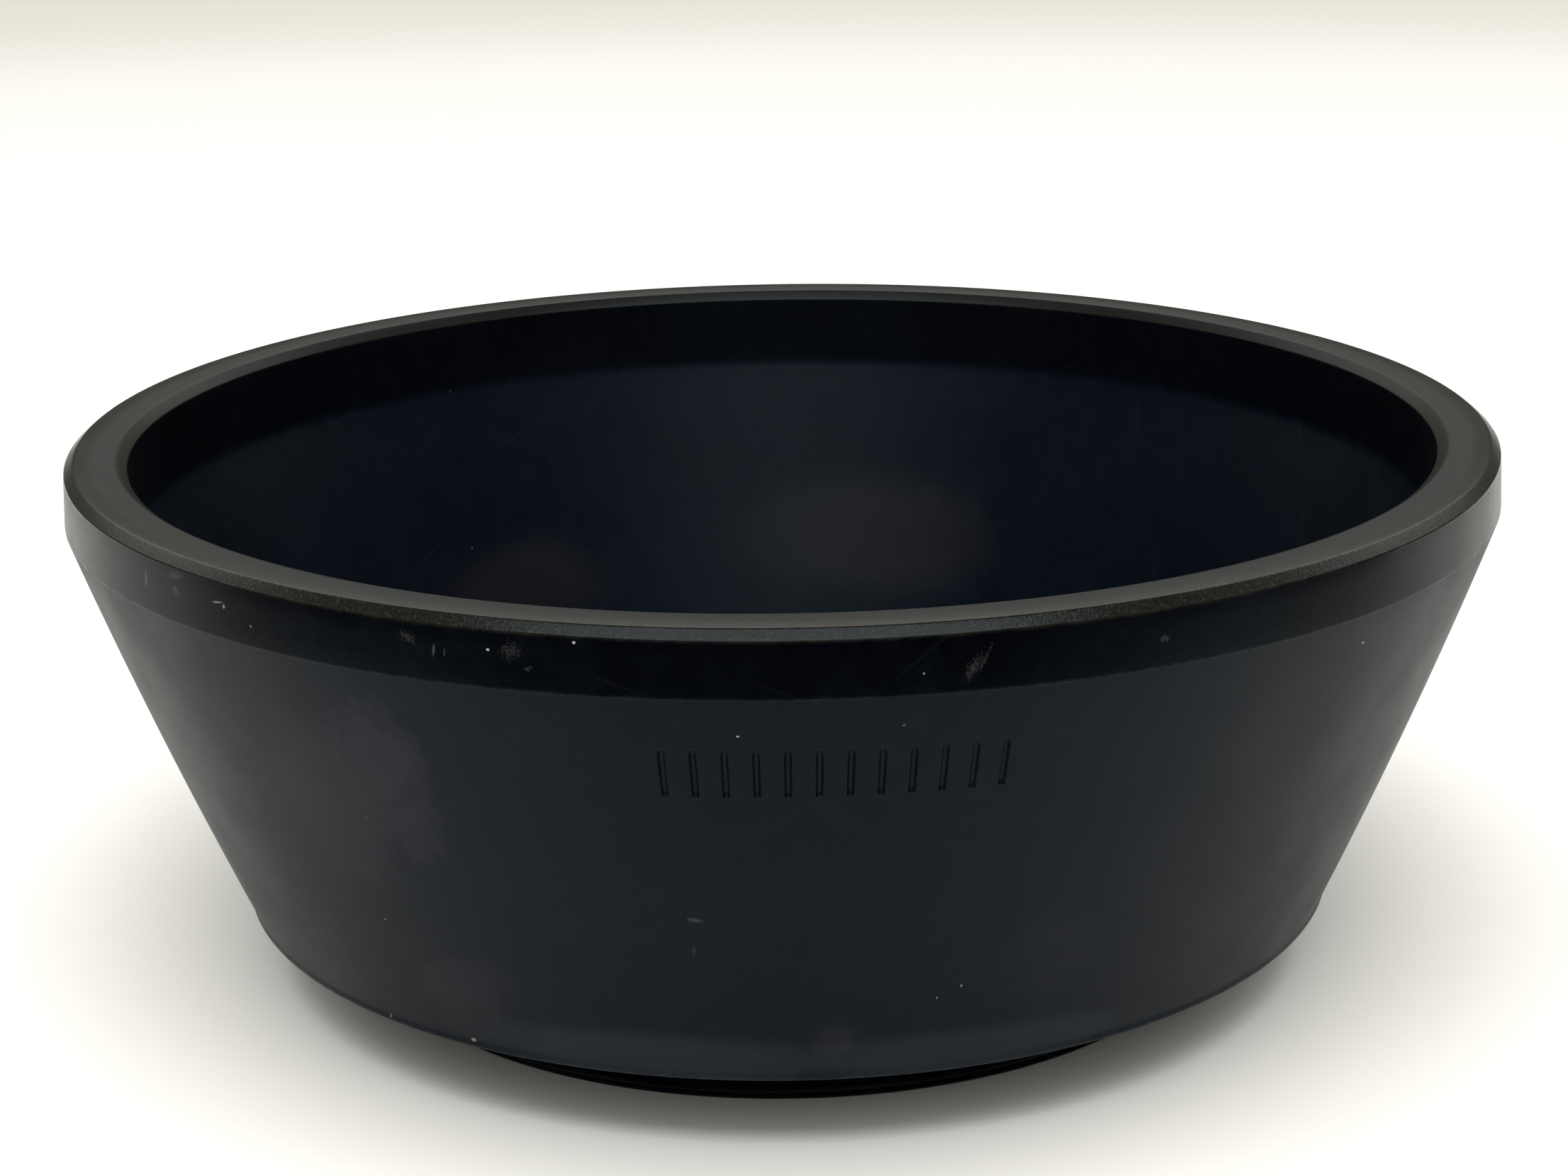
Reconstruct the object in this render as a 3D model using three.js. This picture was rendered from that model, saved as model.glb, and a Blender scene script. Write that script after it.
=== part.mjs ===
// Screw-in lens hood: a flared moulded body, and the threaded ring that fixes it to a lens.
// Millimetres. +Z runs along the optical axis from the threaded end to the wide mouth, and
// the origin is the centre of the threaded end, where the hood stands on a table.

import * as THREE from 'three';

// Driving dimensions
const threadDiameter = 40.5; // major diameter of the filter thread
const threadPitch = 0.5;
const hoodDiameter = 65; // across the top of the band round the mouth
const hoodHeight = 24.8;
const spigotHeight = 3.5; // how far the threaded end stands out below the seat
const seatDiameter = 51; // outside of the seat that bears on the lens

// Mouth of the body
const mouthRadius = 29.7;
const mouthDepth = 3.9; // straight stretch below the front face
const bandHeight = 2.6;
const bandDraft = 0.1; // the band is this much wider at its lower edge
const outerBevelWidth = 0.45;
const outerBevelDrop = 0.37;
const innerBevelWidth = 0.5;
const innerBevelDrop = 0.4;

// Wall and floor of the body
const wallBulge = 0.2; // how far the outside of the wall bows out half-way up
const wallSteps = 8;
const landHeight = 0.35; // straight stretch above the seat
const edgeBreak = 0.15;
const floorThickness = 2.3;

// Ring let into the floor
const ringBoreRadius = 18.9;
const ringBoreBevel = 0.2;
const ringNeckRadius = 20.55;
const ringFlangeRadius = 21.95;
const ringFlangeThickness = 0.9;
const ringFit = 0.05; // gap all round the ring, filled with adhesive on the real part
const threadDepth = 0.307;
const threadLead = 0.25; // plain length before the first thread
const threadTurns = 5;
const reliefRadius = 19.85;

const segments = 96;

// Sizes worked out from the ones above
const bandTopRadius = hoodDiameter / 2;
const bandLowRadius = bandTopRadius + bandDraft;
const bandLowHeight = hoodHeight - bandHeight;
const seatRadius = seatDiameter / 2;
const landTop = spigotHeight + landHeight;
const floorTop = spigotHeight + floorThickness;
const flangeBottom = floorTop - ringFlangeThickness;
const mouthStepHeight = hoodHeight - mouthDepth;
const wallSlope = (bandLowRadius - seatRadius) / (bandLowHeight - landTop);
const floorRadius = mouthRadius - wallSlope * (mouthStepHeight - floorTop);

// A solid of revolution about Z from a closed outline of [radius, height] points
function turned(outline) {
  const points = outline.map(([radius, height]) => new THREE.Vector2(radius, height));
  points.push(points[0].clone());
  const geometry = new THREE.LatheGeometry(points, segments);
  geometry.rotateX(Math.PI / 2);
  return geometry;
}

// Outside of the flared wall, from the land up to the band, bowed out a little
function wallOutline() {
  const points = [];
  for (let step = 0; step < wallSteps; step += 1) {
    const t = step / wallSteps;
    const radius = seatRadius + (bandLowRadius - seatRadius) * t + 4 * wallBulge * t * (1 - t);
    points.push([radius, landTop + (bandLowHeight - landTop) * t]);
  }
  return points;
}

// The body: seat, flared wall, mouth with its band, and the floor that holds the ring
function bodyGeometry() {
  return turned([
    [ringNeckRadius + ringFit, spigotHeight],
    [seatRadius - edgeBreak, spigotHeight],
    [seatRadius, spigotHeight + edgeBreak],
    ...wallOutline(),
    [bandLowRadius, bandLowHeight],
    [bandTopRadius, hoodHeight - outerBevelDrop],
    [bandTopRadius - outerBevelWidth, hoodHeight],
    [mouthRadius + innerBevelWidth, hoodHeight],
    [mouthRadius, hoodHeight - innerBevelDrop],
    [mouthRadius, mouthStepHeight],
    [floorRadius, floorTop],
    [ringFlangeRadius + ringFit, floorTop],
    [ringFlangeRadius + ringFit, flangeBottom],
    [ringNeckRadius + ringFit, flangeBottom],
  ]);
}

// Outside of the thread as one ridge per turn, at the real pitch, crest and root
function threadOutline() {
  const crestRadius = threadDiameter / 2;
  const rootRadius = crestRadius - threadDepth;
  const points = [[rootRadius, threadLead]];
  for (let turn = 0; turn < threadTurns; turn += 1) {
    const turnStart = threadLead + turn * threadPitch;
    points.push([crestRadius, turnStart + threadPitch / 2]);
    points.push([rootRadius, turnStart + threadPitch]);
  }
  return points;
}

// The ring: threaded spigot, neck through the floor and flange on the body's ledge
function ringGeometry() {
  const threadEnd = threadLead + threadTurns * threadPitch;
  return turned([
    [ringBoreRadius + ringBoreBevel, 0],
    [reliefRadius, 0],
    ...threadOutline(),
    [reliefRadius, threadEnd],
    [reliefRadius, spigotHeight],
    [ringNeckRadius, spigotHeight],
    [ringNeckRadius, flangeBottom],
    [ringFlangeRadius, flangeBottom],
    [ringFlangeRadius, floorTop],
    [ringBoreRadius + ringBoreBevel, floorTop],
    [ringBoreRadius, floorTop - ringBoreBevel],
    [ringBoreRadius, ringBoreBevel],
  ]);
}

const bodyMaterial = new THREE.MeshStandardMaterial({ color: 0x14161a, roughness: 0.5, metalness: 0 });
const ringMaterial = new THREE.MeshStandardMaterial({ color: 0x121316, roughness: 0.42, metalness: 0 });

const hoodBody = new THREE.Mesh(bodyGeometry(), bodyMaterial);
hoodBody.name = 'hood_body';

const mountRing = new THREE.Mesh(ringGeometry(), ringMaterial);
mountRing.name = 'threaded_mount_ring';

const lensHood = new THREE.Group();
lensHood.name = 'lens_hood';
lensHood.add(hoodBody, mountRing);

export default lensHood;
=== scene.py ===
"""The looks of a screw-in lens hood that stands mouth up: its flared body and its threaded ring.

Lengths are in metres unless a name says otherwise. The hood is round about Z, and its
front, where the index ticks are, faces -Y.
"""

import math

import bpy
from mathutils import Matrix, Vector


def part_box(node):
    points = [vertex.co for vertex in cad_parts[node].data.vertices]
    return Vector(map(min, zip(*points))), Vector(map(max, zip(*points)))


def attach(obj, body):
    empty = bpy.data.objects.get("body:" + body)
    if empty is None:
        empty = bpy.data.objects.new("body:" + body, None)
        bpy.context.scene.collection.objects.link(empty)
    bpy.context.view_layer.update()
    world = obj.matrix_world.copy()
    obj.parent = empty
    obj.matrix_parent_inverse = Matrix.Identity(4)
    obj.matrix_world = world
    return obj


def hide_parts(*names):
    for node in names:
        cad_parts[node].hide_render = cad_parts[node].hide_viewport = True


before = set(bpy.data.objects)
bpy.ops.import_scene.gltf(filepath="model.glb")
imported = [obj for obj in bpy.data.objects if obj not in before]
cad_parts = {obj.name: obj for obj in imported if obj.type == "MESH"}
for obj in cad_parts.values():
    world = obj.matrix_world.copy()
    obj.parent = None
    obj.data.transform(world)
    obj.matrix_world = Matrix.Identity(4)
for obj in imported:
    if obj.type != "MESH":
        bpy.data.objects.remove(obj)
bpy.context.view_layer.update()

MM = 0.001
FULL_TURN = 2 * math.pi

# ---------------------------------------------------------------- sizes read off the parts in model.glb
body_low, body_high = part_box("hood_body")
ring_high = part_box("threaded_mount_ring")[1]

band_low_radius = body_high.x
hood_height = body_high.z
seat_height = body_low.z
floor_top = ring_high.z
flange_radius = ring_high.x

# ---------------------------------------------------------------- sizes of the body
band_draft = 0.1 * MM
band_height = 2.6 * MM
outer_bevel_width = 0.45 * MM
outer_bevel_drop = 0.37 * MM
inner_bevel_width = 0.5 * MM
inner_bevel_drop = 0.4 * MM
mouth_radius = 29.7 * MM
mouth_depth = 3.9 * MM
seat_radius = 25.5 * MM
land_height = 0.35 * MM
wall_bulge = 0.2 * MM

band_top_radius = band_low_radius - band_draft
band_low_height = hood_height - band_height
land_top = seat_height + land_height
mouth_step_height = hood_height - mouth_depth
wall_slope = (band_low_radius - seat_radius) / (band_low_height - land_top)
floor_radius = mouth_radius - wall_slope * (mouth_step_height - floor_top)

# ---------------------------------------------------------------- sizes of the ring
ring_gap = 0.05 * MM
flange_thickness = 0.9 * MM
neck_radius = 20.55 * MM
bore_radius = 18.9 * MM
bore_bevel = 0.2 * MM
relief_radius = 19.85 * MM
thread_radius = 20.25 * MM
thread_pitch = 0.5 * MM
thread_depth = 0.307 * MM
thread_start = 0.05 * MM
thread_end = 2.75 * MM
thread_root_share = 0.86  # parts of half a pitch from the crest's middle to where the root starts
thread_flank_share = 0.7
lead_in_drop = 0.02 * MM
lead_in_slope = 1.1
run_out_slope = 1.6
flange_bottom = floor_top - flange_thickness

# ---------------------------------------------------------------- index ticks in the wall
tick_count = 12
tick_first_angle = math.radians(-8.5)
tick_spacing = math.radians(2.15)
tick_half_width = 0.07 * MM
tick_side = 0.08 * MM
tick_guard = 0.04 * MM
tick_low = 17.9 * MM
tick_high = 19.9 * MM
tick_depth = 0.12 * MM
tick_slack = 1e-4 * MM

# ---------------------------------------------------------------- fineness of the meshes
body_columns = 360
wall_rows = 22
ring_columns = 256
arc_steps = 4
longest_row = 0.9 * MM
thread_rows_per_pitch = 8
weld_distance = 1e-5 * MM
surface_slack = 0.01 * MM
sharp_angle = math.radians(38)


# ================================================================ outlines
def rounded(corners):
    """The closed outline through corners of (radius, height, rounding), with an arc at each."""
    outline = []
    for index, (radius, height, rounding) in enumerate(corners):
        here = Vector((radius, height))
        if rounding == 0:
            outline.append(here)
            continue
        before = (Vector(corners[index - 1][:2]) - here).normalized()
        after = (Vector(corners[(index + 1) % len(corners)][:2]) - here).normalized()
        half_angle = before.angle(after) / 2
        reach = rounding / math.tan(half_angle)
        centre = here + (before + after).normalized() * (rounding / math.sin(half_angle))
        first = here + before * reach - centre
        last = here + after * reach - centre
        for step in range(arc_steps + 1):
            between = first.lerp(last, step / arc_steps)
            outline.append(centre + between.normalized() * rounding)
    return outline


def with_short_steps(outline, closed=True):
    """The same outline with points added, so that no step is longer than longest_row."""
    finer = []
    following = outline[1:] + outline[:1] if closed else outline[1:]
    for here, after in zip(outline, following):
        pieces = max(1, math.ceil((after - here).length / longest_row))
        for piece in range(pieces):
            finer.append(here.lerp(after, piece / pieces))
    return finer


def wall_radius(height):
    """Outside radius of the flared wall, which bows out a little at its middle."""
    t = (height - land_top) / (band_low_height - land_top)
    return seat_radius + (band_low_radius - seat_radius) * t + 4 * wall_bulge * t * (1 - t)


def wall_heights():
    """Heights of the rows up the wall: even steps, and close rows at both ends of the ticks."""
    rise = (band_low_height - land_top) / wall_rows
    heights = [land_top + rise * row for row in range(1, wall_rows)]
    close = [tick_low, tick_low - tick_side, tick_low - tick_side - tick_guard]
    close += [tick_high, tick_high + tick_side, tick_high + tick_side + tick_guard]
    apart = [h for h in heights if all(abs(h - c) > 2 * tick_side for c in close)]
    return sorted(apart + close)


def body_outline():
    """Outline of the body: seat, land, wall, band, bevels, mouth, inside, floor and ledge."""
    wall = [(wall_radius(height), height, 0) for height in wall_heights()]
    return with_short_steps(rounded([
        (neck_radius + ring_gap, seat_height, 0.08 * MM),
        (seat_radius, seat_height, 0.16 * MM),
        (seat_radius, land_top, 0.3 * MM),
        *wall,
        (band_low_radius, band_low_height, 0.14 * MM),
        (band_top_radius, hood_height - outer_bevel_drop, 0.1 * MM),
        (band_top_radius - outer_bevel_width, hood_height, 0.2 * MM),
        (mouth_radius + inner_bevel_width, hood_height, 0.3 * MM),
        (mouth_radius, hood_height - inner_bevel_drop, 0.12 * MM),
        (mouth_radius, mouth_step_height, 1.6 * MM),
        (floor_radius, floor_top, 0.8 * MM),
        (flange_radius + ring_gap, floor_top, 0.05 * MM),
        (flange_radius + ring_gap, flange_bottom, 0),
        (neck_radius + ring_gap, flange_bottom, 0.05 * MM),
    ]))


# ================================================================ meshes
class Weld:
    """Collects faces and gives points at the same place the same vertex."""

    def __init__(self):
        self.numbers = {}
        self.points = []
        self.faces = []

    def vertex(self, point):
        key = tuple(round(value / weld_distance) for value in point)
        if key not in self.numbers:
            self.numbers[key] = len(self.points)
            self.points.append(tuple(point))
        return self.numbers[key]

    def face(self, corners):
        distinct = []
        for corner in corners:
            number = self.vertex(corner)
            if number not in distinct:
                distinct.append(number)
        if len(distinct) > 2:
            self.faces.append(distinct)

    def piece(self, name):
        mesh = bpy.data.meshes.new(name)
        mesh.from_pydata(self.points, [], self.faces)
        mesh.validate()
        mesh.shade_smooth()
        mesh.set_sharp_from_angle(angle=sharp_angle)
        piece = bpy.data.objects.new(name, mesh)
        bpy.context.scene.collection.objects.link(piece)
        return piece


def turned_piece(name, angles, ring_at):
    """A closed piece round Z. ring_at(angle) gives its outline's (radius, height) points there."""
    weld = Weld()
    columns = [placed(angle, ring_at(angle)) for angle in [*angles, angles[0] + FULL_TURN]]
    for left, right in zip(columns, columns[1:]):
        for row in range(len(left)):
            above = (row + 1) % len(left)
            weld.face([left[row], right[row], right[above], left[above]])
    return weld.piece(name)


def placed(angle, outline):
    """The outline's points turned to an angle, which counts from the front towards +X."""
    return [Vector((r * math.sin(angle), -r * math.cos(angle), z)) for r, z in outline]


# ---------------------------------------------------------------- the body with its ticks
def tick_angles():
    return [tick_first_angle + number * tick_spacing for number in range(tick_count)]


def body_column_angles():
    """Even columns all round, with close ones at both sides of every tick."""
    even = [FULL_TURN * column / body_columns - math.pi for column in range(body_columns)]
    offsets = [tick_half_width, tick_half_width + tick_side]
    offsets.append(tick_half_width + tick_side + tick_guard)
    arm = wall_radius((tick_low + tick_high) / 2)
    sides = [side * offset / arm for offset in offsets for side in (-1, 1)]
    close = [angle + side for angle in tick_angles() for side in sides]
    clearance = tick_guard / arm
    apart = [a for a in even if all(abs(a - c) > clearance for c in close)]
    return sorted(apart + close)


def fade(distance, inner, outer):
    """1 up to inner, 0 from outer on, and straight between."""
    return min(1.0, max(0.0, (outer - distance) / (outer - inner)))


def tick_share(angle, height):
    """How much of the tick's depth is cut at a place on the wall, from 0 to 1."""
    arm = wall_radius(height)
    nearest = min(abs(angle - tick) for tick in tick_angles()) * arm
    across = fade(nearest, tick_half_width + tick_slack, tick_half_width + tick_side)
    middle = (tick_low + tick_high) / 2
    half = (tick_high - tick_low) / 2
    along = fade(abs(height - middle), half + tick_slack, half + tick_side)
    return min(across, along)


def make_body():
    plain = body_outline()
    ticks_middle = (tick_angles()[0] + tick_angles()[-1]) / 2

    def outline_at(angle):
        if abs(angle - ticks_middle) > tick_count * tick_spacing:
            return plain
        cut = []
        for radius, height in plain:
            between = land_top < height < band_low_height
            on_wall = between and radius > wall_radius(height) - surface_slack
            depth = tick_depth * tick_share(angle, height) if on_wall else 0
            cut.append(Vector((radius - depth, height)))
        return cut

    return turned_piece("hood_shell", body_column_angles(), outline_at)


# ---------------------------------------------------------------- the ring with its thread
def thread_profile(part):
    """Radius of the thread at a part of its pitch: flat crest, straight flanks, narrow flat root."""
    from_crest = abs((part + 0.5) % 1 - 0.5) * 2
    rise = min(1.0, max(0.0, (thread_root_share - from_crest) / thread_flank_share))
    return thread_radius - thread_depth * (1 - rise)


def thread_envelope(height):
    """The widest that the thread may be at a height: bevelled at its start and its run-out."""
    root = thread_radius - thread_depth
    lead_in = root - lead_in_drop + (height - thread_start) * lead_in_slope
    run_out = relief_radius + (thread_end - height) * run_out_slope
    return min(thread_radius, lead_in, run_out)


def thread_points(turn):
    """The thread's points at a share of a turn, from its start up to its run-out."""
    rows = math.ceil((thread_end - thread_start) / thread_pitch + 1) * thread_rows_per_pitch
    points = []
    for row in range(rows + 1):
        climb = row / thread_rows_per_pitch + turn - 1
        height = min(thread_end, max(thread_start, thread_start + climb * thread_pitch))
        part = (row % thread_rows_per_pitch) / thread_rows_per_pitch
        points.append(Vector((min(thread_profile(part), thread_envelope(height)), height)))
    return points


def make_ring():
    top = with_short_steps(rounded([
        (relief_radius, seat_height, 0.06 * MM),
        (neck_radius, seat_height, 0.06 * MM),
        (neck_radius, flange_bottom, 0),
        (flange_radius, flange_bottom, 0),
        (flange_radius, floor_top, 0.08 * MM),
        (bore_radius + bore_bevel, floor_top, 0.05 * MM),
        (bore_radius, floor_top - bore_bevel, 0.05 * MM),
        (bore_radius, bore_bevel, 0.05 * MM),
        (bore_radius + bore_bevel, 0, 0.03 * MM),
        (relief_radius, 0, 0.05 * MM),
    ]), closed=False)
    top.append(Vector((relief_radius, thread_start)))

    def outline_at(angle):
        return thread_points(angle / FULL_TURN) + top

    angles = [FULL_TURN * column / ring_columns for column in range(ring_columns)]
    return turned_piece("thread_ring", angles, outline_at)


# ================================================================ shader helpers
class Nodes:
    """Short calls for building one node tree. Sockets are linked, and plain values are set."""

    def __init__(self, tree):
        self.tree = tree

    def add(self, kind, inputs=(), **settings):
        node = self.tree.nodes.new(kind)
        for name, value in settings.items():
            setattr(node, name, value)
        for name, value in dict(inputs).items():
            self.put(node.inputs[name], value)
        return node

    def put(self, socket, value):
        if isinstance(value, bpy.types.NodeSocket):
            self.tree.links.new(value, socket)
        else:
            socket.default_value = value

    def math(self, operation, first, second=0.0, third=0.0):
        inputs = {0: first, 1: second}
        if operation in ("MULTIPLY_ADD", "WRAP"):
            inputs[2] = third
        return self.add("ShaderNodeMath", inputs, operation=operation).outputs[0]

    def times(self, *factors):
        product = factors[0]
        for factor in factors[1:]:
            product = self.math("MULTIPLY", product, factor)
        return product

    def ramp(self, value, low, high, out_low=0.0, out_high=1.0):
        """value taken smoothly from low..high to out_low..out_high, and held outside it."""
        inputs = {"Value": value, "From Min": low, "From Max": high}
        inputs.update({"To Min": out_low, "To Max": out_high})
        return self.add("ShaderNodeMapRange", inputs, interpolation_type="SMOOTHSTEP").outputs[0]

    def noise(self, vector, scale, detail=3.0, roughness=0.55, distortion=0.0):
        inputs = {"Vector": vector, "Scale": scale, "Detail": detail}
        inputs.update({"Roughness": roughness, "Distortion": distortion})
        return self.add("ShaderNodeTexNoise", inputs).outputs["Fac"]

    def point(self, x, y, z):
        return self.add("ShaderNodeCombineXYZ", {"X": x, "Y": y, "Z": z}).outputs[0]

    def colour_mix(self, factor, first, second):
        node = self.tree.nodes.new("ShaderNodeMix")
        node.data_type = "RGBA"
        self.put(node.inputs["Factor"], factor)
        self.put([s for s in node.inputs if s.name == "A" and s.type == "RGBA"][0], first)
        self.put([s for s in node.inputs if s.name == "B" and s.type == "RGBA"][0], second)
        return [s for s in node.outputs if s.type == "RGBA"][0]

    def group(self, tree, **inputs):
        node = self.tree.nodes.new("ShaderNodeGroup")
        node.node_tree = tree
        for name, value in inputs.items():
            self.put(node.inputs[name.replace("_", " ")], value)
        return node.outputs


def new_group(name, inputs, outputs):
    """A node group from inputs {name: default}, None for a vector, and outputs {name: kind}."""
    tree = bpy.data.node_groups.new(name, "ShaderNodeTree")
    for label, default in inputs.items():
        kind = "NodeSocketVector" if default is None else "NodeSocketFloat"
        socket = tree.interface.new_socket(label, in_out="INPUT", socket_type=kind)
        if default is not None:
            socket.default_value = default
    for label, kind in outputs.items():
        tree.interface.new_socket(label, in_out="OUTPUT", socket_type=kind)
    nodes = Nodes(tree)
    source = tree.nodes.new("NodeGroupInput").outputs
    result = tree.nodes.new("NodeGroupOutput").inputs
    return tree, nodes, source, result


FLOAT = "NodeSocketFloat"
VECTOR = "NodeSocketVector"
marks_arm = 31.0  # millimetres from the axis, where a mark's width is measured
mm_per_degree = math.radians(marks_arm)
sheen_scale = 0.22
film_scale = 0.9
rub_scale = 1.4
ragged_push = 4.0

# Across a patch, in parts of its half width: where it is full, dries to a line, and ends
patch_core = 0.45
patch_dried = 0.95
patch_end = 1.15
dried_half_width = 0.2


def make_hood_places():
    """Where a point is on the hood, in millimetres: round it, above the table and from its axis."""
    outputs = {"Around": FLOAT, "Height": FLOAT, "Radius": FLOAT, "Angle": FLOAT, "Place": VECTOR}
    tree, nodes, source, result = new_group("hood places", {"Object": None}, outputs)
    split = nodes.add("ShaderNodeSeparateXYZ", {0: source["Object"]}).outputs
    front = nodes.math("MULTIPLY", split["Y"], -1.0)
    angle = nodes.math("ARCTAN2", split["X"], front)
    flat = nodes.point(split["X"], split["Y"], 0.0)
    length = nodes.add("ShaderNodeVectorMath", {0: flat}, operation="LENGTH").outputs["Value"]
    radius = nodes.math("MULTIPLY", length, 1 / MM)
    height = nodes.math("MULTIPLY", split["Z"], 1 / MM)
    around = nodes.math("MULTIPLY", angle, radius)
    inputs = {0: source["Object"], "Scale": 1 / MM}
    scaled = nodes.add("ShaderNodeVectorMath", inputs, operation="SCALE")
    nodes.put(result["Around"], around)
    nodes.put(result["Height"], height)
    nodes.put(result["Radius"], radius)
    nodes.put(result["Angle"], nodes.math("DEGREES", angle))
    nodes.put(result["Place"], scaled.outputs["Vector"])
    return tree


def make_moulded_grain():
    """Fine grain of a moulded surface: a height for bump, and an uneven sheen."""
    inputs = {"Place": None, "Grains per mm": 6.0, "Depth": 1.0}
    outputs = {"Height": FLOAT, "Sheen": FLOAT}
    tree, nodes, source, result = new_group("moulded grain", inputs, outputs)
    fine = nodes.noise(source["Place"], source["Grains per mm"], detail=2.0, roughness=0.6)
    broad = nodes.noise(source["Place"], sheen_scale, detail=4.0, roughness=0.6)
    nodes.put(result["Height"], nodes.times(fine, source["Depth"]))
    nodes.put(result["Sheen"], nodes.ramp(broad, 0.3, 0.7))
    return tree


def make_patch():
    """A patch on the unrolled surface, for wear, smudges and painted reflections, and the rim that
    dries round its edge.
    """
    inputs = {"Angle": 0.0, "Height": 0.0, "Place": None, "At angle": 0.0, "At height": 0.0}
    inputs.update({"Half width": 1.0, "Half height": 1.0, "Lean": 0.0, "Tilt": 0.0})
    inputs.update({"Ragged": 0.5, "Grain scale": 2.0})
    tree, nodes, source, result = new_group("worn patch", inputs, {"Mask": FLOAT, "Rim": FLOAT})
    turned = nodes.math("SUBTRACT", source["Angle"], source["At angle"])
    across = nodes.times(nodes.math("WRAP", turned, 180.0, -180.0), mm_per_degree)
    up = nodes.math("SUBTRACT", source["Height"], source["At height"])
    leaned = nodes.math("SUBTRACT", across, nodes.times(up, source["Lean"]))
    tilted = nodes.math("SUBTRACT", up, nodes.times(across, source["Tilt"]))
    wide = nodes.math("DIVIDE", leaned, source["Half width"])
    tall = nodes.math("DIVIDE", tilted, source["Half height"])
    edge = nodes.math("SQRT", nodes.math("ADD", nodes.times(wide, wide), nodes.times(tall, tall)))
    noise = nodes.noise(
        source["Place"], source["Grain scale"], detail=4.0, roughness=0.65, distortion=0.4)
    push = nodes.times(nodes.math("SUBTRACT", noise, 0.5), source["Ragged"], ragged_push)
    distance = nodes.math("ADD", edge, push)
    nodes.put(result["Mask"], nodes.ramp(distance, patch_end, patch_core))
    off_rim = nodes.math("ABSOLUTE", nodes.math("SUBTRACT", distance, patch_dried))
    nodes.put(result["Rim"], nodes.ramp(off_rim, dried_half_width, 0.0))
    return tree


def make_dust():
    """Settled dust, as two masks: scattered specks and a thin uneven film."""
    inputs = {"Place": None, "Specks per mm": 1.0, "Share with a speck": 0.1, "Speck size": 0.08}
    tree, nodes, source, result = new_group("settled dust", inputs, {"Specks": FLOAT, "Film": FLOAT})
    lattice = {"Vector": source["Place"], "Scale": source["Specks per mm"]}
    cells = nodes.add("ShaderNodeTexVoronoi", lattice)
    chance = nodes.add("ShaderNodeSeparateXYZ", {0: cells.outputs["Color"]}).outputs
    here = nodes.math("LESS_THAN", chance["X"], source["Share with a speck"])
    size = nodes.times(source["Speck size"], nodes.ramp(chance["Y"], 0.0, 1.0, 0.35, 1.0))
    small = nodes.math("LESS_THAN", cells.outputs["Distance"], size)
    film = nodes.noise(source["Place"], film_scale, detail=6.0, roughness=0.7, distortion=0.3)
    nodes.put(result["Specks"], nodes.times(here, small))
    nodes.put(result["Film"], nodes.ramp(film, 0.45, 0.8))
    return tree


def make_hairlines():
    """Hairline scratches: thin lines along one lean of the unrolled surface, broken up."""
    inputs = {"Around": 0.0, "Height": 0.0, "Lean": 0.3}
    inputs.update({"Lines per mm": 0.8, "Length": 6.0, "Share": 0.2})
    tree, nodes, source, result = new_group("hairline scratches", inputs, {"Mask": FLOAT})
    leaning = nodes.math("ADD", source["Height"], nodes.times(source["Around"], source["Lean"]))
    across = nodes.times(leaning, source["Lines per mm"])
    along = nodes.math("DIVIDE", source["Around"], source["Length"])
    where = nodes.point(along, across, 0.0)
    lattice = {"Vector": where, "Scale": 1.0}
    cells = nodes.add("ShaderNodeTexVoronoi", lattice, voronoi_dimensions="2D")
    chance = nodes.add("ShaderNodeSeparateXYZ", {0: cells.outputs["Color"]}).outputs
    centre = nodes.add("ShaderNodeSeparateXYZ", {0: cells.outputs["Position"]}).outputs
    offset = nodes.math("ABSOLUTE", nodes.math("SUBTRACT", across, centre["Y"]))
    thin = nodes.ramp(offset, 0.035, 0.01)
    from_middle = nodes.math("ABSOLUTE", nodes.math("SUBTRACT", along, centre["X"]))
    short = nodes.ramp(from_middle, 0.4, 0.2)
    here = nodes.math("LESS_THAN", chance["X"], source["Share"])
    nodes.put(result["Mask"], nodes.times(thin, short, here))
    return tree


def make_edge_rub():
    """Rubbed edges: a line at one height and radius, broken by noise."""
    inputs = {"Height": 0.0, "Radius": 0.0, "Place": None}
    inputs.update({"At height": 0.0, "At radius": 0.0, "Width": 0.15})
    tree, nodes, source, result = new_group("edge rub", inputs, {"Mask": FLOAT})
    up = nodes.math("SUBTRACT", source["Height"], source["At height"])
    out = nodes.math("SUBTRACT", source["Radius"], source["At radius"])
    squares = nodes.math("ADD", nodes.times(up, up), nodes.times(out, out))
    near = nodes.math("DIVIDE", nodes.math("SQRT", squares), source["Width"])
    broken = nodes.noise(source["Place"], rub_scale, detail=5.0, roughness=0.7)
    line = nodes.ramp(near, 1.0, 0.3)
    nodes.put(result["Mask"], nodes.times(line, nodes.ramp(broken, 0.38, 0.62)))
    return tree


hood_places = make_hood_places()
moulded_grain = make_moulded_grain()
wear_and_reflection_patch = make_patch()
settled_dust = make_dust()
hairline_scratches = make_hairlines()
edge_rub = make_edge_rub()


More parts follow.
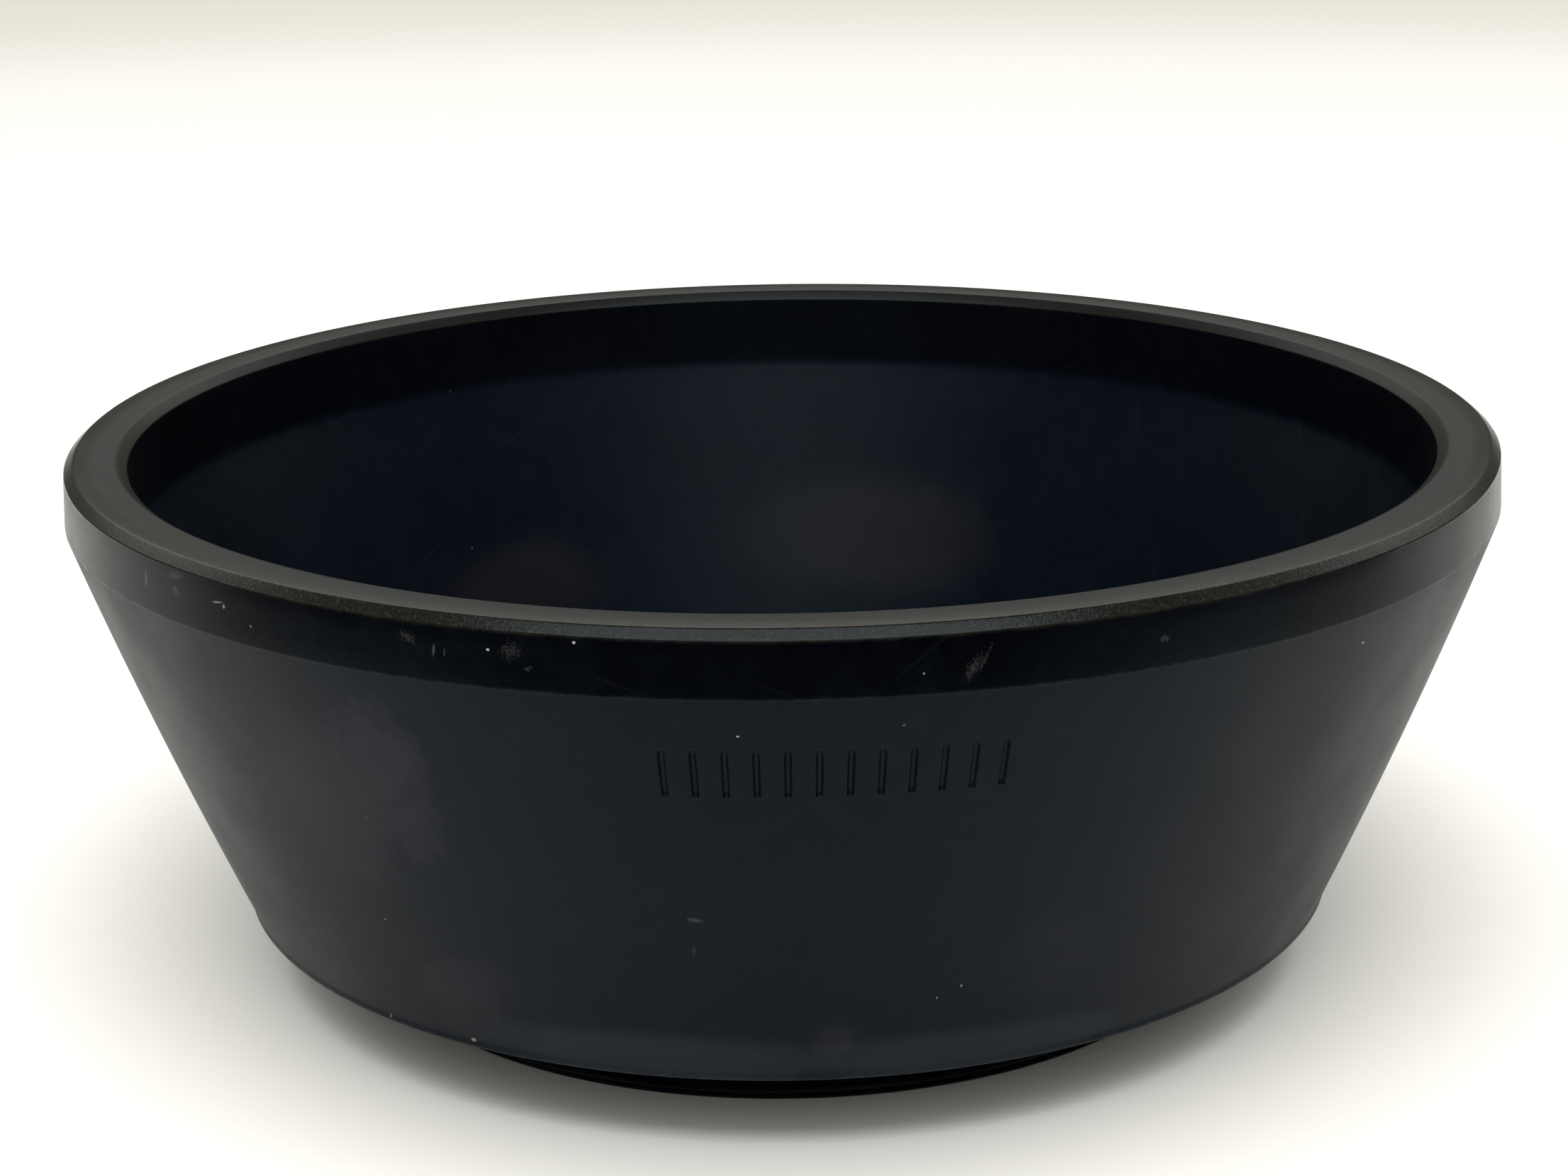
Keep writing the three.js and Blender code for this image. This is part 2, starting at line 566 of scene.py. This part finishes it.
# ---------------------------------------------------------------- marks of use
# Each row: angle, height, half width, half height, lean, tilt, raggedness, grain, strength.
# Angles are in degrees from the front towards +X, and lengths in millimetres. Lean is how far
# a patch shifts sideways for each millimetre up, and tilt is how far it rises along the wall.
wall_smudges = [
    (-30.6, 18.0, 2.2, 2.7, 0.05, 0.0, 0.3, 0.7, 0.6),
    (-29.2, 15.0, 1.6, 1.9, 0.1, 0.0, 0.4, 0.8, 0.4),
    (-51.0, 9.7, 2.0, 0.06, 0.0, 0.27, 0.15, 2.0, 0.9),
    (-36.0, 15.5, 3.4, 5.0, 0.1, 0.0, 0.25, 0.5, 0.4),
    (-30.0, 7.0, 3.2, 1.8, 0.0, 0.1, 0.4, 0.5, 0.3),
    (-7.3, 11.9, 0.42, 0.13, 0.3, -0.2, 0.5, 2.2, 1.5),
    (-7.6, 10.3, 0.08, 0.25, 0.1, 0.0, 0.4, 2.2, 0.7),
    (-52.0, 9.0, 2.2, 1.6, 0.4, 0.0, 0.5, 0.7, 0.3),
    (22.0, 9.0, 3.0, 2.4, 0.0, 0.0, 0.5, 0.4, 0.12),
    (4.0, 5.6, 1.4, 1.0, 0.0, 0.0, 0.4, 0.9, 0.3),
    (-120.0, 13.0, 3.0, 3.6, 0.3, 0.0, 0.4, 0.6, 0.4),
    (140.0, 10.0, 3.6, 2.2, -0.4, 0.0, 0.4, 0.6, 0.35),
]
foot_films = [
    (-12.0, 4.5, 11.0, 1.5, 0.0, 0.0, 0.1, 0.6, 1.0),
    (15.0, 4.4, 11.0, 1.4, 0.0, 0.0, 0.1, 0.6, 0.9),
    (170.0, 4.6, 14.0, 1.4, 0.0, 0.0, 0.15, 0.5, 0.8),
]
# Painted reflection: soft brownish lighter patches low on the inside at the back, standing in for
# light mirrored there
inside_painted_reflections = [
    (170.0, 12.0, 9.0, 3.6, 0.0, 0.0, 0.12, 0.25, 1.0),
    (-147.0, 10.5, 6.5, 2.6, 0.0, 0.0, 0.12, 0.25, 0.8),
]
band_scuffs = [
    (-52.2, 23.5, 0.09, 0.45, 0.0, 0.0, 0.5, 3.0, 0.5),
    (-43.0, 23.6, 0.36, 0.05, 0.0, 0.15, 0.25, 2.5, 0.9),
    (-48.0, 24.1, 0.50, 0.14, 0.0, 0.2, 1.3, 9.0, 0.25),
    (-48.0, 23.5, 0.22, 0.16, 0.0, 0.0, 1.3, 9.0, 0.25),
    (-25.8, 23.8, 0.30, 0.16, 0.0, -0.3, 1.4, 10.0, 0.13),
    (-23.8, 23.4, 0.05, 0.26, 0.1, 0.0, 0.4, 3.0, 0.3),
    (-23.0, 23.35, 0.04, 0.20, 0.1, 0.0, 0.4, 3.0, 0.22),
    (-18.2, 23.7, 0.30, 0.28, 0.0, 0.0, 1.7, 12.0, 0.1),
    (-17.0, 23.1, 0.14, 0.08, 0.0, 0.3, 1.2, 9.0, 0.17),
    (13.1, 23.4, 0.06, 0.5, 0.5, 0.0, 1.6, 10.0, 0.11),
    (12.3, 23.1, 0.18, 0.38, 0.5, 0.0, 1.7, 12.0, 0.14),
    (26.0, 23.3, 0.22, 0.12, 0.1, 0.0, 1.2, 9.0, 0.15),
    (110.0, 23.2, 0.8, 0.12, 0.2, 0.1, 0.9, 5.0, 0.3),
    (172.0, 23.4, 0.5, 0.10, -0.3, -0.1, 0.9, 5.0, 0.35),
]
light_specks = [
    (45.8, 20.8, 0.07, 0.06, 0.0, 0.0, 0.1, 2.0, 1.0),
    (14.5, 8.0, 0.06, 0.07, 0.0, 0.0, 0.1, 2.0, 0.5),
    (12.5, 7.5, 0.05, 0.06, 0.0, 0.0, 0.1, 2.0, 0.5),
    (-13.8, 24.2, 0.07, 0.06, 0.0, 0.0, 0.1, 2.0, 1.0),
    (-19.8, 23.67, 0.07, 0.06, 0.0, 0.0, 0.1, 2.0, 0.8),
    (-42.3, 23.5, 0.07, 0.09, 0.0, 0.0, 0.1, 2.0, 0.5),
    (-39.5, 23.0, 0.05, 0.05, 0.0, 0.0, 0.1, 2.0, 0.5),
    (-3.2, 20.6, 0.07, 0.045, 0.0, 0.0, 0.1, 2.0, 0.75),
    (9.0, 23.0, 0.05, 0.05, 0.0, 0.0, 0.1, 2.0, 0.4),
    (7.8, 20.9, 0.08, 0.045, 0.0, 0.3, 0.3, 4.0, 0.22),
    (-36.2, 9.6, 0.07, 0.06, 0.0, 0.0, 0.1, 2.0, 0.3),
    (-31.0, 3.9, 0.16, 0.10, 0.0, 0.0, 0.2, 3.0, 0.5),
    (-41.5, 3.8, 0.07, 0.14, 0.0, 0.0, 0.2, 3.0, 0.3),
]


# ================================================================ materials
# Colours in linear light
deep_black = (0.0001, 0.0010, 0.0040, 1)
worn_black = (0.0004, 0.0015, 0.0050, 1)
# Painted shade: a darker black for the upright faces of the band, outside and in the mouth
upright_painted_shade = (0.0001, 0.0002, 0.0008, 1)
ring_deep_black = (0.0002, 0.0012, 0.0040, 1)
ring_worn_black = (0.0005, 0.0016, 0.0050, 1)
rim_olive = (0.80, 0.66, 0.28, 1)
film_blue = (0.34, 0.39, 0.44, 1)
grease_grey = (0.42, 0.38, 0.43, 1)
# Painted reflection: the brownish tone of the lighter patches inside
painted_reflection_brown = (0.45, 0.34, 0.28, 1)
pale_dust = (0.42, 0.41, 0.38, 1)
ring_dust = (0.40, 0.39, 0.37, 1)

# The share of the black that each mark covers
upright_shade_cover = 0.75
rim_cover = 0.007
film_cover = 0.004
band_film_cover = 0.001
foot_cover = 0.03
smudge_cover = 0.05
dried_cover = 0.012
painted_reflection_cover = 0.014
stray_dust_cover = 0.12
scuff_cover = 0.3
rub_cover = 0.01
frost_cover = 0.03
hairline_cover = 0.004
ring_speck_cover = 0.6
ring_film_cover = 0.02
crest_cover = 0.03

# Roughness, and what each part or mark adds to it
plain_rough = 0.40
sheen_rough = 0.06
band_rough = -0.14
rim_rough = -0.09
smudge_rough = 0.10
scuff_rough = 0.2
rub_rough = -0.08
ring_sheen_rough = 0.08
crest_rough = -0.12

# Both plastics mirror little, and what they mirror head-on looks blue
plastic_ior = 1.5
mirror_level = 0.116
mirror_tint = (0.66, 0.86, 1.0, 1)
grain_depth = 0.02 * MM
line_relief = -0.2
frost_relief = 2.0

# Lines between the body's parts, in millimetres: radii between the mouth and the band, and
# the slanted line between the inside and the outside of the wall
band_starts = 31.0
band_is_full = 31.6
skin_slope = 0.4
skin_starts = 22.4
skin_is_full = 22.8


def new_material(name):
    """A material with its node helper, its Principled shader and the hood's places."""
    material = bpy.data.materials.new(name)
    material.use_nodes = True
    nodes = Nodes(material.node_tree)
    shader = material.node_tree.nodes["Principled BSDF"]
    where = nodes.add("ShaderNodeTexCoord").outputs["Object"]
    places = nodes.group(hood_places, Object=where)
    shader.inputs["IOR"].default_value = plastic_ior
    shader.inputs["Specular IOR Level"].default_value = mirror_level
    shader.inputs["Specular Tint"].default_value = mirror_tint
    return material, nodes, shader, places


def strongest(nodes, *masks):
    """The largest of several masks at each point."""
    result = masks[0]
    for mask in masks[1:]:
        result = nodes.math("MAXIMUM", result, mask)
    return result


def patches(nodes, places, rows, output="Mask"):
    """The strongest of several patches, each times its own strength."""
    masks = []
    for angle, height, half_width, half_height, lean, tilt, ragged, grain, strength in rows:
        mask = nodes.group(
            wear_and_reflection_patch, Angle=places["Angle"], Height=places["Height"], Place=places["Place"],
            At_angle=angle, At_height=height, Half_width=half_width, Half_height=half_height,
            Lean=lean, Tilt=tilt, Ragged=ragged, Grain_scale=grain)[output]
        masks.append(nodes.times(mask, strength))
    return strongest(nodes, *masks)


def hairlines(nodes, places, lean, lines_per_mm, length, share):
    return nodes.group(
        hairline_scratches, Around=places["Around"], Height=places["Height"],
        Lean=lean, Lines_per_mm=lines_per_mm, Length=length, Share=share)["Mask"]


def rubbed_edges(nodes, places):
    """Rubbed edges of the body: both edges of the outer bevel, the band's foot and the seat."""
    edges = [
        (hood_height - outer_bevel_drop, band_top_radius, 0.16),
        (hood_height, band_top_radius - outer_bevel_width, 0.12),
        (band_low_height, band_low_radius, 0.12),
        (seat_height, seat_radius, 0.3),
    ]
    return strongest(nodes, *[
        nodes.group(
            edge_rub, Height=places["Height"], Radius=places["Radius"], Place=places["Place"],
            At_height=edge_height / MM, At_radius=edge_radius / MM, Width=width)["Mask"]
        for edge_height, edge_radius, width in edges
    ])


def body_regions(nodes, places):
    """Masks of the body's parts. They count in millimetres, and fade over a short stretch."""
    height = places["Height"]
    radius = places["Radius"]
    top = hood_height / MM
    band_foot = band_low_height / MM
    bevel_foot = (hood_height - outer_bevel_drop) / MM
    bevel_radius = (band_top_radius - outer_bevel_width) / MM
    step = mouth_step_height / MM
    mouth = mouth_radius / MM
    on_band = nodes.ramp(height, band_foot - 0.1, band_foot + 0.1)
    band = nodes.times(on_band, nodes.ramp(radius, band_starts, band_is_full))
    on_bevel = nodes.ramp(height, bevel_foot - 0.02, bevel_foot + 0.03)
    bevel = nodes.times(on_bevel, nodes.ramp(radius, bevel_radius, bevel_radius + 0.05))
    above_step = nodes.ramp(height, step, step + 0.3)
    inner_band = nodes.times(above_step, nodes.ramp(radius, mouth + 0.5, mouth + 0.2))
    rim = nodes.ramp(height, top - 0.5, top - 0.35)
    past_wall = nodes.math("SUBTRACT", radius, nodes.times(height, skin_slope))
    outside = nodes.ramp(past_wall, skin_starts, skin_is_full)
    return band, bevel, inner_band, rim, outside


def make_body_plastic():
    """Matte black moulded plastic: fine grain, smudges, dusty scuffs on the band, rubbed edges,
    painted shade on the upright faces and painted reflections inside.
    """
    material, nodes, shader, places = new_material("matte black moulded plastic")
    band, bevel, inner_band, rim, outside = body_regions(nodes, places)
    inside = nodes.math("SUBTRACT", 1.0, outside)
    grain = nodes.group(moulded_grain, Place=places["Place"], Grains_per_mm=7.0, Depth=1.0)
    dust = nodes.group(
        settled_dust, Place=places["Place"],
        Specks_per_mm=0.9, Share_with_a_speck=0.04, Speck_size=0.06)
    lines = hairlines(nodes, places, lean=0.35, lines_per_mm=0.55, length=7.0, share=0.25)
    cross_lines = hairlines(nodes, places, lean=-0.8, lines_per_mm=0.4, length=5.0, share=0.15)
    smudges = patches(nodes, places, wall_smudges)
    dried = patches(nodes, places, wall_smudges[:1], "Rim")
    foot_film = patches(nodes, places, foot_films)
    painted_reflection = patches(nodes, places, inside_painted_reflections)
    scuffs = patches(nodes, places, band_scuffs)
    specks = patches(nodes, places, light_specks)
    rubs = rubbed_edges(nodes, places)

    colour = nodes.colour_mix(grain["Sheen"], deep_black, worn_black)
    # Painted shade: the upright faces of the band, outside and in the mouth, are made darker black
    upright = strongest(nodes, band, inner_band)
    colour = nodes.colour_mix(nodes.times(upright, upright_shade_cover), colour, upright_painted_shade)
    colour = nodes.colour_mix(nodes.times(rim, rim_cover), colour, rim_olive)
    film = nodes.times(dust["Film"], nodes.math("MULTIPLY_ADD", band, band_film_cover, film_cover))
    film = strongest(nodes, film, nodes.times(foot_film, outside, foot_cover))
    colour = nodes.colour_mix(film, colour, film_blue)
    grease = nodes.times(smudges, outside, smudge_cover)
    grease = nodes.math("ADD", grease, nodes.times(dried, outside, dried_cover))
    colour = nodes.colour_mix(grease, colour, grease_grey)
    # Painted reflection: brownish lighter patches on the inside
    colour = nodes.colour_mix(nodes.times(painted_reflection, inside, painted_reflection_cover), colour, painted_reflection_brown)
    pale = strongest(
        nodes,
        nodes.times(specks, outside),
        nodes.times(dust["Specks"], stray_dust_cover),
        nodes.times(scuffs, outside, scuff_cover),
        nodes.times(rubs, rub_cover))
    frost = nodes.times(bevel, nodes.ramp(grain["Height"], 0.5, 0.7), frost_cover)
    pale = nodes.math("ADD", pale, frost)
    pale = strongest(nodes, pale, nodes.times(strongest(nodes, lines, cross_lines), hairline_cover))
    nodes.put(shader.inputs["Base Color"], nodes.colour_mix(pale, colour, pale_dust))

    rough = nodes.math("MULTIPLY_ADD", grain["Sheen"], sheen_rough, plain_rough)
    shares = [
        (band, band_rough),
        (rim, rim_rough),
        (smudges, smudge_rough),
        (scuffs, scuff_rough),
        (rubs, rub_rough),
    ]
    for mask, share in shares:
        rough = nodes.math("MULTIPLY_ADD", mask, share, rough)
    nodes.put(shader.inputs["Roughness"], rough)

    relief = nodes.math("MULTIPLY_ADD", lines, line_relief, grain["Height"])
    relief = nodes.math("MULTIPLY_ADD", cross_lines, line_relief, relief)
    relief = nodes.math("ADD", relief, nodes.times(bevel, grain["Height"], frost_relief))
    bump = nodes.add("ShaderNodeBump", {"Height": relief, "Strength": 0.25, "Distance": grain_depth})
    nodes.put(shader.inputs["Normal"], bump.outputs["Normal"])
    return material


def make_ring_plastic():
    """Black plastic with a cut thread: dusty, and rubbed smoother and paler on the crests."""
    material, nodes, shader, places = new_material("black thread plastic")
    grain = nodes.group(moulded_grain, Place=places["Place"], Grains_per_mm=5.0, Depth=0.8)
    dust = nodes.group(
        settled_dust, Place=places["Place"],
        Specks_per_mm=0.9, Share_with_a_speck=0.06, Speck_size=0.07)
    root = (thread_radius - thread_depth) / MM
    top = thread_end / MM
    crest = nodes.times(
        nodes.ramp(places["Radius"], root + 0.15, root + 0.28),
        nodes.ramp(places["Height"], top + 0.15, top - 0.05))

    colour = nodes.colour_mix(grain["Sheen"], ring_deep_black, ring_worn_black)
    pale = strongest(
        nodes,
        nodes.times(dust["Specks"], ring_speck_cover),
        nodes.times(dust["Film"], ring_film_cover),
        nodes.times(crest, grain["Sheen"], crest_cover))
    nodes.put(shader.inputs["Base Color"], nodes.colour_mix(pale, colour, ring_dust))

    rough = nodes.math("MULTIPLY_ADD", grain["Sheen"], ring_sheen_rough, plain_rough)
    rough = nodes.math("MULTIPLY_ADD", crest, crest_rough, rough)
    nodes.put(shader.inputs["Roughness"], rough)
    relief = {"Height": grain["Height"], "Strength": 0.2, "Distance": grain_depth}
    nodes.put(shader.inputs["Normal"], nodes.add("ShaderNodeBump", relief).outputs["Normal"])
    return material


# ================================================================ the pieces
hood_shell = make_body()
hood_shell.data.materials.append(make_body_plastic())
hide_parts("hood_body")
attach(hood_shell, "root")

thread_ring = make_ring()
thread_ring.data.materials.append(make_ring_plastic())
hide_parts("threaded_mount_ring")
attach(thread_ring, "root")


# ================================================================ the studio
# Windows of the world's light. Each row, in degrees: azimuth off the front, half width,
# elevations where its foot starts and is full, and where its top starts to fade and ends.
# The last value is its strength.
world_windows = [
    (180, 100, 13, 27, 35, 46, 1.2),
    (180, 100, 27, 35, 40, 50, 0.9),
    (0, 34, 12, 24, 42, 58, 1.7),
    (0, 50, 38, 48, 62, 76, 0.5),
    (90, 60, 5, 30, 50, 70, 0.26),
]
window_core = 0.5  # the share of a window's half width that is full
world_level = 0.15
world_colour = (1.0, 0.985, 0.90, 1)

# The table's own pale colour near the hood, then painted shade: duller and then dark further out,
# where the light falls off
near_floor = (0.94, 0.94, 0.94, 1)
floor_painted_falloff = (0.82, 0.805, 0.78, 1)
floor_painted_dark = (0.16, 0.16, 0.155, 1)
floor_reach = 5.0
near_floor_ends = 0.29
far_floor_starts = 0.41
far_floor_ends = 0.47
painted_dark_starts = 0.68

card_black = (0.01, 0.01, 0.01, 1)
card_height = 30 * MM
card_folds = [(-118, -12), (-78, -74), (104, -74), (128, 4)]  # millimetres on the table

# Each row: name, centre, point it faces, width, depth, radiance, colour
softboxes = [
    ("overhead_softbox", (-0.01, -0.19, 0.57), (0, 0, 0), 0.56, 0.47, 4.8, (1.0, 0.98, 0.93)),
    ("low_warm_panel", (0.02, -0.5, 0.2), (0, 0, 0.01), 0.2, 0.05, 1.5, (1.0, 0.72, 0.62)),
]

# The camera's place in parts of the band's radius, its angles in radians, and its lens
camera_distance = 4.41
camera_height = 1.838
camera_pitch = 0.2917
camera_tilt = -0.0145
lens_over_width = 2.034358
sensor_width = 36


def make_floor():
    """A wide pale table top with painted shade, duller and then dark far from the hood, that can't
    be seen from below.
    """
    weld = Weld()
    corners = [(-1, -1), (1, -1), (1, 1), (-1, 1)]
    weld.face([(x * floor_reach, y * floor_reach, 0) for x, y in corners])
    floor = weld.piece("table_top")
    material = bpy.data.materials.new("pale table top")
    material.use_nodes = True
    nodes = Nodes(material.node_tree)
    shader = material.node_tree.nodes["Principled BSDF"]
    where = nodes.add("ShaderNodeTexCoord").outputs["Object"]
    away = nodes.add("ShaderNodeVectorMath", {0: where}, operation="LENGTH").outputs["Value"]
    # Painted shade: the table darkens with distance from the hood
    far = nodes.ramp(away, near_floor_ends, far_floor_starts)
    past = nodes.ramp(away, far_floor_ends, painted_dark_starts)
    colour = nodes.colour_mix(past, nodes.colour_mix(far, near_floor, floor_painted_falloff), floor_painted_dark)
    nodes.put(shader.inputs["Base Color"], colour)
    seen_from_below = nodes.add("ShaderNodeNewGeometry").outputs["Backfacing"]
    nodes.put(shader.inputs["Alpha"], nodes.math("SUBTRACT", 1.0, seen_from_below))
    shader.inputs["Roughness"].default_value = 0.9
    shader.inputs["Specular IOR Level"].default_value = 0.1
    floor.data.materials.append(material)


def make_black_card():
    """A folded dark card round the front that only reflections see: the band mirrors it."""
    weld = Weld()
    feet = [Vector((x * MM, y * MM, 0)) for x, y in card_folds]
    tops = [foot + Vector((0, 0, card_height)) for foot in feet]
    for left in range(len(feet) - 1):
        weld.face([feet[left], feet[left + 1], tops[left + 1], tops[left]])
    card = weld.piece("black_card")
    material = bpy.data.materials.new("black card")
    material.use_nodes = True
    shader = material.node_tree.nodes["Principled BSDF"]
    shader.inputs["Base Color"].default_value = card_black
    shader.inputs["Roughness"].default_value = 0.9
    card.data.materials.append(material)
    card.visible_camera = False
    card.visible_diffuse = False
    card.visible_shadow = False


def make_softbox(name, centre, aim, width, depth, radiance, colour):
    """A rectangular soft light of an even brightness, turned to face a point."""
    lamp = bpy.data.lights.new(name, "AREA")
    lamp.shape = "RECTANGLE"
    lamp.size = width
    lamp.size_y = depth
    lamp.energy = radiance * math.pi * width * depth
    lamp.color = colour
    softbox = bpy.data.objects.new(name, lamp)
    softbox.location = centre
    softbox.rotation_euler = (Vector(aim) - Vector(centre)).to_track_quat("-Z", "Y").to_euler()
    softbox.visible_camera = False
    bpy.context.scene.collection.objects.link(softbox)


def make_room():
    """Soft light from all round: windows behind, in front and at the sides, and a dim rest."""
    world = bpy.data.worlds.new("studio")
    bpy.context.scene.world = world
    world.use_nodes = True
    nodes = Nodes(world.node_tree)
    direction = nodes.add("ShaderNodeTexCoord").outputs["Generated"]
    split = nodes.add("ShaderNodeSeparateXYZ", {0: direction}).outputs
    front = nodes.math("MULTIPLY", split["Y"], -1.0)
    turned = nodes.math("DEGREES", nodes.math("ARCTAN2", split["X"], front))
    azimuth = nodes.math("ABSOLUTE", turned)
    elevation = nodes.math("DEGREES", nodes.math("ARCSINE", split["Z"]))
    level = world_level
    for across, half_width, low, low_full, high_full, high, strength in world_windows:
        off = nodes.math("ABSOLUTE", nodes.math("SUBTRACT", azimuth, across))
        beside = nodes.ramp(off, half_width, half_width * window_core)
        above = nodes.ramp(elevation, low, low_full)
        below = nodes.ramp(elevation, high, high_full)
        level = nodes.math("ADD", level, nodes.times(beside, above, below, strength))
    background = world.node_tree.nodes["Background"]
    nodes.put(background.inputs["Strength"], level)
    background.inputs["Color"].default_value = world_colour


def make_camera():
    """The camera: in front of the hood, looking down on it a little, and tilted a hair."""
    data = bpy.data.cameras.new("camera")
    data.sensor_width = sensor_width
    data.lens = sensor_width * lens_over_width
    data.clip_start = 0.01
    data.clip_end = 20
    data.dof.use_dof = False
    camera = bpy.data.objects.new("camera", data)
    place = (0, -camera_distance * band_top_radius, camera_height * band_top_radius)
    pitched = Matrix.Rotation(math.pi / 2 - camera_pitch, 4, "X")
    tilted = Matrix.Rotation(camera_tilt, 4, "Z")
    camera.matrix_world = Matrix.Translation(place) @ pitched @ tilted
    bpy.context.scene.collection.objects.link(camera)
    bpy.context.scene.camera = camera


make_floor()
make_black_card()
make_room()
for softbox in softboxes:
    make_softbox(*softbox)
make_camera()
bpy.context.scene.view_settings.view_transform = "Standard"
